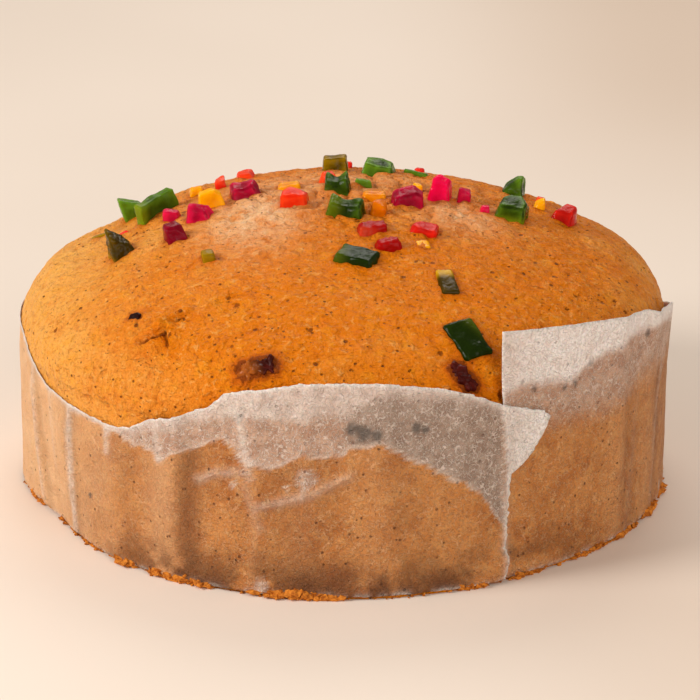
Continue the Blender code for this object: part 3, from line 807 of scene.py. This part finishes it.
def paper_stand(angle, height, pale, push):
    """Clear distance from the sponge's wall to the strip's inner face."""
    lean = sum(out * bell(turn_between(angle, middle), width) * smooth_step(height, start, full)
               for middle, width, start, full, out in EDGE_LEANS)
    middle, width, out = LEFT_FOOT
    foot = out * bell(turn_between(angle, middle), width) * (1.0 - min(height / WALL_TOP, 1.0))
    lap = PAPER_LAP * smooth_step(angle, LAP_START, LAP_FULL)
    cling = smooth_step(angle, *CLINGS_FROM) * smooth_step(angle, *CLINGS_UNTIL)
    cling *= smooth_step(height - along(PAPER_EDGE, angle), -8.0, -1.0)
    fold = 0.0
    for where, out, left, right in PAPER_FOLDS:
        away = from_fold(angle, height, where)
        fold += out * bell(away, left if away < 0.0 else right)
    fold *= (1.0 - 0.9 * cling) * smooth_step(height, -4.0, 16.0)
    buckle = 0.17 * (1.0 + strip_ripple(angle, height, 7.0, 1.0)) * (1.0 - 0.8 * cling)
    crinkle = 0.06 * (1.0 + strip_ripple(angle, height, 1.6, 6.0)) * (0.6 + 0.6 * pale)
    crinkle += 0.16 * (1.0 + strip_ripple(angle, height * 0.35, 2.8, 12.0)) * (1.0 - 0.7 * cling)
    return PAPER_GAP + lean + foot + lap + fold + push + buckle + crinkle


def fold_highlight_and_shade(angle, height):
    """How much painted highlight a point gets on a fold's crest, lit from the left, and how much
    painted shade in the crease to its right.
    """
    ridge_highlight, valley_shade = 0.0, 0.0
    for where, out, left, right in PAPER_FOLDS:
        away = from_fold(angle, height, where)
        high = out / USUAL_FOLD
        ridge_highlight = max(ridge_highlight, high * bell(away + 0.5 * left, 0.8 * left))
        valley_shade = max(valley_shade, 0.85 * high * bell(away - 1.8 * right, 1.4 * right))
    fade = smooth_step(height - along(VEIL_ABOVE, angle), 3.0, -2.0)
    return ridge_highlight * fade, valley_shade * fade


def rim_white(angle, share, level, veil):
    """How close a point is to an edge of the strip, or to the border of what has come away."""
    edge = min((1.0 - level) * STRIP_TALL, (1.0 - share) * STRIP_LONG, share * STRIP_LONG)
    foot = 0.8 * math.exp(-level * STRIP_TALL / 0.35) * smooth_step(0.5 + 2.0 * tear(angle, 5.0))
    border = 1.6 * veil * (1.0 - veil) * smooth_step(angle, 100.0, 160.0)
    return max(math.exp(-edge / 0.5), foot, border)


def strip_point(share, level):
    """A point of the strip, its outward direction and its three sets of marks.

    The marks are how dry and pale, how far come away, how close to an edge; how pale from
    creases, rubbed and with a painted highlight, how dark from what shows through, how much painted
    shade from the gap behind the strip in front; and painted highlight on fold crests, painted shade
    in the creases beside them and at the foot in front, and blotch.
    """
    angle = CUT_END + (TORN_TIP - CUT_END) * share
    foot = PAPER_FOOT + 0.35 * tear(angle, 3.0)
    height = foot + (upper_edge(angle) - foot) * level
    angle = CUT_END + (torn_angle(height) - CUT_END) * share
    pale = above_line(angle, height, PALE_ABOVE, 1.0, 3.0)
    soft = VEIL_SOFT + (VEIL_SHARP - VEIL_SOFT) * smooth_step(angle, 20.0, 80.0)
    veil = above_line(angle, height, VEIL_ABOVE, 1.3, soft)
    push, white = crease_push_and_highlight(angle, height)
    radius = wall_radius(angle, min(height, WALL_TOP)) + paper_stand(angle, height, pale, push)
    # painted shade where the strip stands off the sponge in front, over a shadowed gap
    gap_shade = smooth_step(angle, 268.0, 273.0) * smooth_step(angle, 297.3, 295.8)
    ridge_highlight, valley_shade = fold_highlight_and_shade(angle, height)
    valley_shade = max(valley_shade, foot_shade(angle, height))
    blotch = smooth_step(0.5 + strip_ripple(angle, height, 6.0, 21.0))
    lifted = max(veil, spot_share(angle, height, PALE_SPOTS, 1.0))
    shows = spot_share(angle, height, DARK_SPOTS, 7.0)
    rim = rim_white(angle, share, level, veil)
    shares = ((pale, lifted, rim), (white, shows, gap_shade), (ridge_highlight, valley_shade, blotch))
    return polar(angle, radius, height), polar(angle, 1.0, 0.0), shares


def build_paper():
    points, shares, faces = [], [], []
    tall = PAPER_ROWS + 1
    outside = (PAPER_COLUMNS + 1) * tall
    columns = [[strip_point(column / PAPER_COLUMNS, row / PAPER_ROWS) for row in range(tall)]
               for column in range(PAPER_COLUMNS + 1)]
    for skin in (0.0, PAPER_THICK):
        for column in columns:
            for point, out, share in column:
                points.append(point + out * skin)
                shares.append(share)
    for column in range(PAPER_COLUMNS):
        for row in range(PAPER_ROWS):
            a, b = column * tall + row, (column + 1) * tall + row
            faces.append((a, a + 1, b + 1, b))
            faces.append((outside + a, outside + b, outside + b + 1, outside + a + 1))
        for row in (0, PAPER_ROWS):
            a, b = column * tall + row, (column + 1) * tall + row
            if row:
                faces.append((a, outside + a, outside + b, b))
            else:
                faces.append((a, b, outside + b, outside + a))
    for column in (0, PAPER_COLUMNS):
        for row in range(PAPER_ROWS):
            a = column * tall + row
            if column:
                faces.append((a, a + 1, outside + a + 1, outside + a))
            else:
                faces.append((a, outside + a, outside + a + 1, a + 1))
    made = write_mesh("paper", points, faces, [share[0] for share in shares])
    write_marks(made.data, "wear_and_painted_light", [share[1] for share in shares])
    write_marks(made.data, "fold_light_shade_blotch", [share[2] for share in shares])
    return made


def curls(tree, where, size, thick):
    """Curly hair-thin lines: where smooth noise passes through its middle value."""
    wave = noise_node(tree, where, size, 1.0, 0.4)
    away = sums(tree, "ABSOLUTE", sums(tree, "SUBTRACT", wave, 0.5))
    return ramp(tree, away, thick, thick * 0.35)


def axes(tree, where):
    """The x, y and z of a place, in metres."""
    split = node(tree, "ShaderNodeSeparateXYZ")
    tree.links.new(where, split.inputs["Vector"])
    return split.outputs["X"], split.outputs["Y"], split.outputs["Z"]


def paper_material():
    made, tree, shader, where = new_material("baking_paper")
    pale, veil, rim = read_marks(tree, "marks")
    white, dark, gap_shade = read_marks(tree, "wear_and_painted_light")
    # painted highlight on fold crests and painted shade in the creases beside them; blotch is the
    # paper's own tone
    ridge_highlight, valley_shade, blotch = read_marks(tree, "fold_light_shade_blotch")
    x, y, z = axes(tree, where)
    cloud = noise_node(tree, where, 2.6, 5.0, 0.65)
    grain = noise_node(tree, where, 0.8, 3.0, 0.6)
    broken = ramp(tree, noise_node(tree, where, 1.7, 2.0), 0.44, 0.56)
    long_fibre = sums(tree, "MULTIPLY", curls(tree, where, 1.25, 0.050), broken)
    fibre = sums(tree, "MAXIMUM", long_fibre, curls(tree, where, 0.75, 0.040))
    pore = ramp(tree, cell_distance(tree, where, 2.6), 0.14, 0.06)
    # the strip is painted lighter on its left, where the window light falls: painted light
    left_painted_light = ramp(tree, x, -0.045, -0.068)
    # darker low in front: partly painted shade under the cake's belly, partly the greasier foot of
    # the paper
    low_front_shade = sums(tree, "MULTIPLY", ramp(tree, z, 0.014, 0.001), ramp(tree, y, -0.045, -0.068))
    patchy = ramp(tree, noise_node(tree, where, 9.0, 3.0), 0.36, 0.56)
    shares = {
        "light cloud": ramp(tree, cloud, 0.46, 0.64), "dark cloud": ramp(tree, cloud, 0.42, 0.30),
        "dark grain": ramp(tree, grain, 0.46, 0.32), "left side": left_painted_light, "fibre": fibre,
        "blotch": blotch, "ridge_highlight": ridge_highlight, "valley_shade": valley_shade, "pore": pore,
        "foot": sums(tree, "MULTIPLY", low_front_shade, patchy),
    }
    greasy = tint(tree, ramp(tree, noise_node(tree, where, 13.0, 3.0), 0.38, 0.62), *GREASY)
    for name, most, other in GREASY_TINTS:
        greasy = tinge(tree, greasy, shares[name], most, other)
    clouded = ramp(tree, cloud, 0.35, 0.65)
    away = tinge(tree, tint(tree, clouded, *COME_AWAY), left_painted_light, 0.7, COME_AWAY_LEFT_LIT)
    # painted shade from the gap behind the strip in front
    away = tint(tree, gap_shade, away, tint(tree, clouded, *COME_AWAY_GAP_SHADE))
    away = tinge(tree, away, fibre, 0.6, COME_AWAY_FIBRE)
    away = tinge(tree, away, pore, 0.35, COME_AWAY_PORE)
    clouded = ramp(tree, cloud, 0.32, 0.62)
    # the dry paper is painted brighter on the right: painted light
    dry = tint(tree, ramp(tree, x, 0.026, 0.044), tint(tree, clouded, *DRY),
               tint(tree, clouded, *DRY_RIGHT_LIT))
    dry = tinge(tree, dry, fibre, 0.35, DRY_FIBRE)
    colour = tinge(tree, tint(tree, veil, greasy, away), dark, 0.75, SHOWS_DARK)
    colour = tint(tree, pale, colour, dry)
    colour = tinge(tree, colour, sums(tree, "MULTIPLY", dark, pale), 0.5, SHOWS_DARK_DRY)
    # creases rubbed pale, with a painted highlight along them
    colour = tinge(tree, colour, white, 0.75, RUBBED_WHITE_AND_HIGHLIGHT)
    colour = tinge(tree, colour, rim, 0.85, RIM_WHITE)
    relief = bump(tree, cloud, 1.0, bump(tree, grain, 0.45))
    relief = bump(tree, pore, -0.35, relief)
    relief = bump(tree, fibre, 0.16, relief)
    finish_skin(tree, shader, colour, relief, PAPER_FINISH)
    return made


paper = build_paper()
paper.data.materials.append(paper_material())
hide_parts("paper_wrap")
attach(paper, "root")

# ---- The candied fruit ----
# Peel, papaya and cherries boiled in coloured syrup and cut with a knife into dice. They
# are firm clear jelly: glossy, deep in colour where thick and with a painted glow where
# thin, and at one end of some, for light passing through, with faces that sank a little
# and edges that the oven rounded.

FRUIT_TONES = {            # slot: colour where thick, painted glow where thin and at a lit end, linear RGB
    "fruit_green": ((0.009, 0.020, 0.0004), (0.13, 0.26, 0.010), (0.19, 0.24, 0.003)),
    "fruit_olive": ((0.045, 0.026, 0.0), (0.34, 0.19, 0.001), (0.58, 0.31, 0.006)),
    "fruit_crimson": ((0.20, 0.001, 0.010), (0.72, 0.008, 0.060), (0.90, 0.02, 0.12)),
    "fruit_red": ((0.36, 0.003, 0.002), (0.88, 0.022, 0.008), (0.95, 0.12, 0.03)),
    "fruit_orange": ((0.68, 0.010, 0.001), (0.95, 0.080, 0.010), (1.0, 0.22, 0.02)),
    "fruit_amber": ((0.70, 0.15, 0.0), (1.0, 0.42, 0.002), (1.0, 0.55, 0.01)),
    "fruit_pink": ((0.64, 0.0, 0.028), (0.96, 0.006, 0.09), (1.0, 0.03, 0.16)),
    "fruit_raisin": ((0.018, 0.003, 0.002), (0.12, 0.010, 0.006), (0.36, 0.09, 0.01)),
}
PAINTED_GLOW_THROUGH = {            # how strongly a die's thin parts get their painted glow of light passing through, against the usual 1
    "green_diamond": 0.30, "green_rhombus": 0.30, "olive_sunk": 0.35, "green_hollow": 0.65,
    "green_lobed": 0.7, "green_wedge": 1.8, "green_crest": 1.5, "olive_peak": 0.5, "red_flat": 0.3,
    "red_chunk": 0.3, "crimson_trapeze": 0.4, "amber_block": 0.3, "amber_upright": 1.3,
    "amber_flat": 0.7, "raisin_chip": 0.0, "raisin_front": 0.8, "cherry_wrinkled": 0.8,
    "crimson_roof": 1.4,
}
PAINTED_GLOW_ENDS = {            # the way to the end of a die that gets a painted glow, and how much
    "green_slab": ((-1.0, -0.2, -0.4), 0.8), "green_lobed": ((-1.0, 0.0, 0.2), 0.45),
    "green_rhombus": ((-1.0, 0.2, 0.0), 0.35), "green_cube": ((-0.2, -0.3, -1.0), 0.8),
    "green_diamond": ((0.5, 1.0, 0.0), 0.35), "green_hollow": ((-0.5, 0.0, -1.0), 0.5),
    "olive_sunk": ((-0.2, 1.0, 0.3), 1.0), "olive_peak": ((-0.6, 0.0, -1.0), 0.5),
    "green_wedge": ((0.4, 0.0, -1.0), 0.5), "green_pyramid": ((0.2, 0.0, -1.0), 0.5),
    "red_cube_left": ((0.0, 0.0, 1.0), 0.5), "olive_chip": ((0.0, 0.0, -1.0), 0.4),
    "raisin_front": ((-1.0, -0.6, 0.0), 0.9), "red_flat": ((-0.3, -1.0, -0.3), 0.4),
}
FRUIT_CELL = 0.28          # size of the fine mesh's squares
SMOOTHING, SHRIVELLED_SMOOTHING = 2, 12
THIN_JELLY = 2.8           # how deep light gets in, for the painted glow of thin jelly
CHIPPED_CORNERS = 3
SLANT, SHALLOW, DEEP = 0.45, 0.12, 0.26    # how chips lean, and how far in they reach
SHARP_CORNERED = (         # dice that the knife left whole, and those that lie flush
    "green_diamond", "green_rhombus", "green_wedge", "green_slab", "green_lobed", "green_hollow",
    "green_strip", "green_shard", "green_streak", "olive_square", "olive_sunk", "olive_peak",
    "olive_chip", "raisin_front", "raisin_chip", "cherry_wrinkled", "red_flat", "red_sunk",
    "amber_melted", "amber_slab", "amber_flat",
)
SAG, SAG_WAVE = 0.30, 2.7  # how far faces sink
WRINKLE, WRINKLE_WAVE = 0.07, 0.9
SHRIVELLED = {             # how deep the wrinkles of dried pieces are
    "cherry_wrinkled": 0.90, "raisin_front": 0.90, "raisin_chip": 0.25, "red_flat": 0.22,
    "red_chunk": 0.25, "olive_peak": 0.20,
}
FRUIT_FINISH = {
    "Roughness": 0.12, "IOR": 1.42, "Specular IOR Level": 0.11, "Subsurface Weight": 0.35,
    "Subsurface Scale": 0.0012,
}


def fruit_material(name, deep, thin, glow):
    made, tree, shader, where = new_material(name)
    thin_glow_share, glow_end_share, _ = read_marks(tree, "marks")
    cloud = noise_node(tree, where, 3.0, 2.0)
    grain = noise_node(tree, where, 0.7, 3.0, 0.6)
    # deep where thick, with a painted glow where thin and at one end, for light passing through
    colour = tint(tree, ramp(tree, uneven(tree, thin_glow_share, cloud, 0.3), 0.08, 0.55), deep, thin)
    colour = tint(tree, ramp(tree, glow_end_share, 0.0, 1.0), colour, glow)
    relief = bump(tree, grain, 0.12, bump(tree, cloud, 0.35))
    finish_skin(tree, shader, colour, relief, FRUIT_FINISH)
    shader.inputs["Subsurface Radius"].default_value = tuple(0.1 + 0.9 * part for part in thin)
    return made


def chip_corners(name, mesh):
    """Cut a few of a die's upper corners off along flat faces, as the knife left them."""
    draw = random.Random(name)
    body = bmesh.new()
    body.from_mesh(mesh)
    bmesh.ops.remove_doubles(body, verts=body.verts[:], dist=0.01 * MM)
    middle = sum((corner.co for corner in body.verts), Vector()) / len(body.verts)
    upper = sorted((corner.co.copy() for corner in body.verts), key=lambda place: place.z)[-4:]
    for place in draw.sample(upper, CHIPPED_CORNERS):
        away = place - middle
        way = away.normalized() + Vector([draw.uniform(-SLANT, SLANT) for _ in range(3)])
        cut = bmesh.ops.bisect_plane(
            body, geom=body.verts[:] + body.edges[:] + body.faces[:], dist=0.0001 * MM,
            plane_co=place - away * draw.uniform(SHALLOW, DEEP), plane_no=way.normalized(),
            clear_outer=True)
        rim = [part for part in cut["geom_cut"] if isinstance(part, bmesh.types.BMEdge)]
        bmesh.ops.holes_fill(body, edges=rim, sides=0)
    body.to_mesh(mesh)
    body.free()


def soften(name, solid, rounds, chipped):
    """The die's solid made even and round-edged: remeshed finely, then relaxed."""
    work = add_object(name + "_work", solid.data.copy())
    if chipped:
        chip_corners(name, work.data)
    work.matrix_world = solid.matrix_world
    even = work.modifiers.new("even", "REMESH")
    even.mode = "VOXEL"
    even.voxel_size = FRUIT_CELL * MM
    relax = work.modifiers.new("relax", "SMOOTH")
    relax.factor = 0.5
    relax.iterations = rounds
    ready = work.evaluated_get(bpy.context.evaluated_depsgraph_get())
    mesh = bpy.data.meshes.new_from_object(ready)
    mesh.transform(work.matrix_world)
    bpy.data.objects.remove(work)
    return mesh


def jelly_thinness(mesh):
    """For each point, how thin the jelly is behind and beside it: 1 at a sharp corner. The colour
    paints light passing through where it is thin.
    """
    surface = BVHTree.FromPolygons([corner.co for corner in mesh.vertices],
                                   [face.vertices for face in mesh.polygons])
    shares = []
    for corner in mesh.vertices:
        inward = -corner.normal
        side = inward.orthogonal().normalized()
        other = inward.cross(side)
        ways = [inward] + [inward * 0.6 + aside * 0.8 for aside in (side, -side, other, -other)]
        total = 0.0
        for way in ways:
            met = surface.ray_cast(corner.co + inward * 0.05 * MM, way)
            depth = met[3] / MM if met[0] is not None else 0.0
            total += math.exp(-depth / THIN_JELLY)
        shares.append(total / len(ways))
    return shares


def painted_glow_shares(name, mesh):
    """For each point, how much it belongs to the end of the die painted as lit through."""
    way, most = PAINTED_GLOW_ENDS.get(name, ((0.0, 0.0, 1.0), 0.0))
    places = [corner.co.dot(Vector(way)) for corner in mesh.vertices]
    low, high = min(places), max(places)
    return [most * smooth_step((place - low) / (high - low), 0.45, 0.85) for place in places]


def finish_die(name, solid):
    shrivel = SHRIVELLED.get(name, 0.0)
    rise = max(corner.co.z / MM - crust_height(corner.co.x / MM, corner.co.y / MM)
               for corner in solid.data.vertices)
    rounds = SMOOTHING + int(SHRIVELLED_SMOOTHING * shrivel)
    mesh = soften(name, solid, rounds, name not in SHARP_CORNERED)
    thin_glow_share = [PAINTED_GLOW_THROUGH.get(name, 1.0) * share for share in jelly_thinness(mesh)]
    lively = 0.2 + 0.8 * smooth_step(rise, 0.4, 2.0)
    seed = sum(ord(letter) for letter in name) * 0.37
    moves = []
    for corner in mesh.vertices:
        spot = corner.co / MM
        sag = noise.noise(spot / SAG_WAVE + Vector((seed, 0.0, 0.0)))
        fine = noise.noise(spot / WRINKLE_WAVE + Vector((0.0, seed, 0.0)))
        fold = abs(noise.noise(Vector((spot.x / 1.1, spot.y / 2.2, spot.z / 1.3 + seed)))) * 1.6
        moves.append((lively * SAG * (sag - 0.25) + WRINKLE * fine - shrivel * (0.25 - fold)) * MM)
    for corner, normal, move in zip(mesh.vertices, [v.normal.copy() for v in mesh.vertices], moves):
        corner.co += normal * move
    painted_glows = painted_glow_shares(name, mesh)
    write_marks(mesh, "marks", [(thin, glow, 0.0) for thin, glow in zip(thin_glow_share, painted_glows)])
    mesh.shade_smooth()
    mesh.materials.clear()
    return add_object(name + "_jelly", mesh)


fruit_slots = {part["node"]: part["material_slot"] for part in frame["record"]["subparts"]}
fruit_skins = {slot: fruit_material(slot, *tones) for slot, tones in FRUIT_TONES.items()}
for die_name in sorted(frame["nodes"]):
    slot = fruit_slots[die_name]
    if not slot.startswith("fruit_"):
        continue
    die = finish_die(die_name, frame["nodes"][die_name])
    die.data.materials.append(fruit_skins[slot])
    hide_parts(die_name)
    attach(die, "root")

# ---- Table, light and camera ----
# A pale warm table, a soft window on the left, broad weaker lights from behind and from the
# right in front, and a long lens a little above the crown.

AIM = Vector((1.5, 0.0, 29.2)) * MM
CAMERA_AWAY = 0.750
CAMERA_RISE = math.radians(19.1)
LENS, SENSOR = 166.6, 36.0
NEAREST, FARTHEST = 0.01, 20.0
TABLE_CORNERS = ((-4.0, -3.0, 0.0), (4.0, -3.0, 0.0), (4.0, 8.0, 0.0), (-4.0, 8.0, 0.0))    # metres
TABLE_TONES = ((0.84, 0.715, 0.605), (0.88, 0.755, 0.645))
TABLE_SHADE = (0.70, 0.545, 0.425)
TABLE_FINISH = {"Roughness": 0.7, "Specular IOR Level": 0.2}
LIGHTS = (                 # name, where it stands and aims in metres, width, watts, colour
    ("window", (-0.66, -0.26, 0.44), (0.02, 0.0, 0.02), 0.34, 5.1, (1.0, 0.975, 0.95)),
    ("back wall", (0.05, 0.62, 0.70), (0.0, 0.0, 0.03), 0.60, 3.0, (1.0, 0.96, 0.91)),
    ("room", (0.48, -0.82, 0.46), (0.0, 0.0, 0.03), 0.80, 4.7, (1.0, 0.95, 0.90)),
)
SURROUNDINGS, SURROUNDINGS_GLOW = (1.0, 0.95, 0.89, 1.0), 0.33


def table_material():
    made, tree, shader, where = new_material("table")
    x, y, _ = axes(tree, where)
    cloud = noise_node(tree, where, 260.0, 2.0)
    colour = tint(tree, ramp(tree, cloud, 0.3, 0.7), *TABLE_TONES)
    near_or_far = sums(tree, "MAXIMUM", ramp(tree, y, 0.12, 0.38), ramp(tree, y, -0.02, -0.09))
    shade = sums(tree, "MULTIPLY", ramp(tree, x, 0.0, 0.12), near_or_far)
    colour = tinge(tree, colour, shade, 0.8, TABLE_SHADE)
    finish_skin(tree, shader, colour, None, TABLE_FINISH)
    return made


def area_light(name, place, target, size, power, colour):
    lamp = bpy.data.lights.new(name, "AREA")
    lamp.shape = "DISK"
    lamp.size = size
    lamp.energy = power
    lamp.color = colour
    made = add_object(name, lamp)
    made.location = place
    made.rotation_euler = (Vector(target) - Vector(place)).to_track_quat("-Z", "Y").to_euler()


table_mesh = bpy.data.meshes.new("table")
table_mesh.from_pydata(TABLE_CORNERS, [], [(0, 1, 2, 3)])
table = add_object("table", table_mesh)
table.data.materials.append(table_material())

for light in LIGHTS:
    area_light(*light)

world = bpy.data.worlds.new("studio")
world.use_nodes = True
world.node_tree.nodes["Background"].inputs["Color"].default_value = SURROUNDINGS
world.node_tree.nodes["Background"].inputs["Strength"].default_value = SURROUNDINGS_GLOW
bpy.context.scene.world = world
bpy.context.scene.view_settings.view_transform = "Standard"

lens = bpy.data.cameras.new("camera")
lens.lens = LENS
lens.sensor_width = SENSOR
lens.clip_start = NEAREST
lens.clip_end = FARTHEST
camera = add_object("camera", lens)
camera.location = AIM + Vector((0.0, -math.cos(CAMERA_RISE), math.sin(CAMERA_RISE))) * CAMERA_AWAY
camera.rotation_euler = (math.pi / 2.0 - CAMERA_RISE, 0.0, 0.0)
bpy.context.scene.camera = camera
